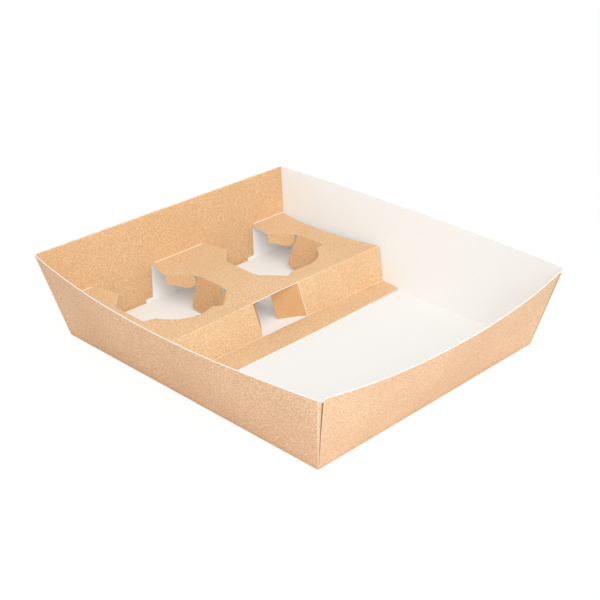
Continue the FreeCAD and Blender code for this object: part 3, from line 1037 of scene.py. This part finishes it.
# the kraft on the rounded folds: paler, with the pale line and painted highlight all over, and the
# fluffed rim
fold_kraft = paper("fold_wear_and_highlight", (0.84, 0.60, 0.38), (0.70, 0.46, 0.26), (0.5, 0.3, 0.16),
                   700, 0.25, 0.8, worn=WHITE_CORE, fold_pale_and_highlight=FOLD_PALE_AND_HIGHLIGHT, line=0.8)
# the white lining, with painted light under the deck
white = paper("white_lining", (0.90, 0.885, 0.855), (0.87, 0.85, 0.82), (0.78, 0.75, 0.70),
              1100, 0.08, 0.6, painted_light_under_deck=(0.985, 0.97, 0.945))
# a darker white on the rounded folds: painted shade in the creases
white_fold_shade = paper("white_fold_shade", (0.82, 0.79, 0.75), (0.79, 0.76, 0.71), (0.74, 0.71, 0.66),
                   1100, 0.1, 0.7)
core = paper("cut_edge", (0.92, 0.89, 0.84), (0.84, 0.78, 0.68), (0.66, 0.54, 0.4),
             1600, 0.25, 0.85)

for piece, face in ((make_tray(), outer_kraft_painted_sheen), (make_lining(), lining_kraft_painted_shade), (make_deck(), kraft)):
    dress(piece, face)


# Camera, lamps and backdrop

LENS = 74.6
CAMERA_PLACE = (0.55374, -0.56655, 0.43141)
CAMERA_TURNS = ((44.427, "Z"), (63.299, "X"), (-0.168, "Z"))
ROOM_LIGHT = 0.75
TABLE_GLOW = 1.03
TABLE_GLOW_SHARE = 0.9
TABLE_HEIGHT = -0.2 * MM

camera = bpy.data.objects.new("camera", bpy.data.cameras.new("camera"))
bpy.context.scene.collection.objects.link(camera)
camera.data.lens = LENS
camera.data.sensor_width = 36
camera.data.clip_end = 20
turn = Matrix.Identity(4)
for degrees, axis in CAMERA_TURNS:
    turn = turn @ Matrix.Rotation(math.radians(degrees), 4, axis)
camera.matrix_world = Matrix.Translation(CAMERA_PLACE) @ turn
bpy.context.scene.camera = camera


def lamp(name, place, target, width, power, colour=(1, 1, 1)):
    light = bpy.data.lights.new(name, "AREA")
    light.color = colour
    light.size = width
    light.energy = power
    item = bpy.data.objects.new(name, light)
    bpy.context.scene.collection.objects.link(item)
    item.location = place
    item.rotation_euler = (Vector(target) - Vector(place)).to_track_quat("-Z", "Y").to_euler()


lamp("key", (0.88, -0.3, 1.2), (0, 0, 0.02), 1.1, 6.6)
lamp("front_fill", (0.7, -0.95, 0.8), (-0.05, 0, 0.02), 0.9, 3.9)
lamp("low_fill", (1.15, -0.1, 0.42), (0.05, 0, 0.02), 0.6, 3.0, (0.75, 0.92, 1.0))

world = bpy.data.worlds.new("studio")
bpy.context.scene.world = world
world.use_nodes = True
tree = world.node_tree
sky = tree.nodes["Background"]
sky.inputs["Color"].default_value = (1, 1, 1, 1)
paths = add(tree, "ShaderNodeLightPath")
seen = maths(tree, "MAXIMUM", paths.outputs["Is Camera Ray"], paths.outputs["Is Glossy Ray"])
seen = maths(tree, "MAXIMUM", seen, paths.outputs["Is Transmission Ray"])
tree.links.new(window(tree, seen, 0, 1, ROOM_LIGHT, 1.0), sky.inputs["Strength"])

bpy.ops.object.select_all(action="DESELECT")
bpy.ops.mesh.primitive_plane_add(size=8)
table = bpy.context.object
table.name = "table"
table.location.z = TABLE_HEIGHT
table_white = bpy.data.materials.new("table_white")
table.data.materials.append(table_white)
table_white.use_nodes = True
tree = table_white.node_tree
surface = tree.nodes["Principled BSDF"]
surface.inputs["Base Color"].default_value = (0.9, 0.9, 0.9, 1)
surface.inputs["Roughness"].default_value = 0.9
surface.inputs["Specular IOR Level"].default_value = 0.0
glow = add(tree, "ShaderNodeEmission")
glow.inputs["Strength"].default_value = TABLE_GLOW
rays = add(tree, "ShaderNodeLightPath")
blend = add(tree, "ShaderNodeMixShader")
share = maths(tree, "MULTIPLY", rays.outputs["Is Camera Ray"], TABLE_GLOW_SHARE)
tree.links.new(share, blend.inputs[0])
tree.links.new(surface.outputs[0], blend.inputs[1])
tree.links.new(glow.outputs[0], blend.inputs[2])
tree.links.new(blend.outputs[0], tree.nodes["Material Output"].inputs["Surface"])

bpy.context.scene.view_settings.view_transform = "Standard"
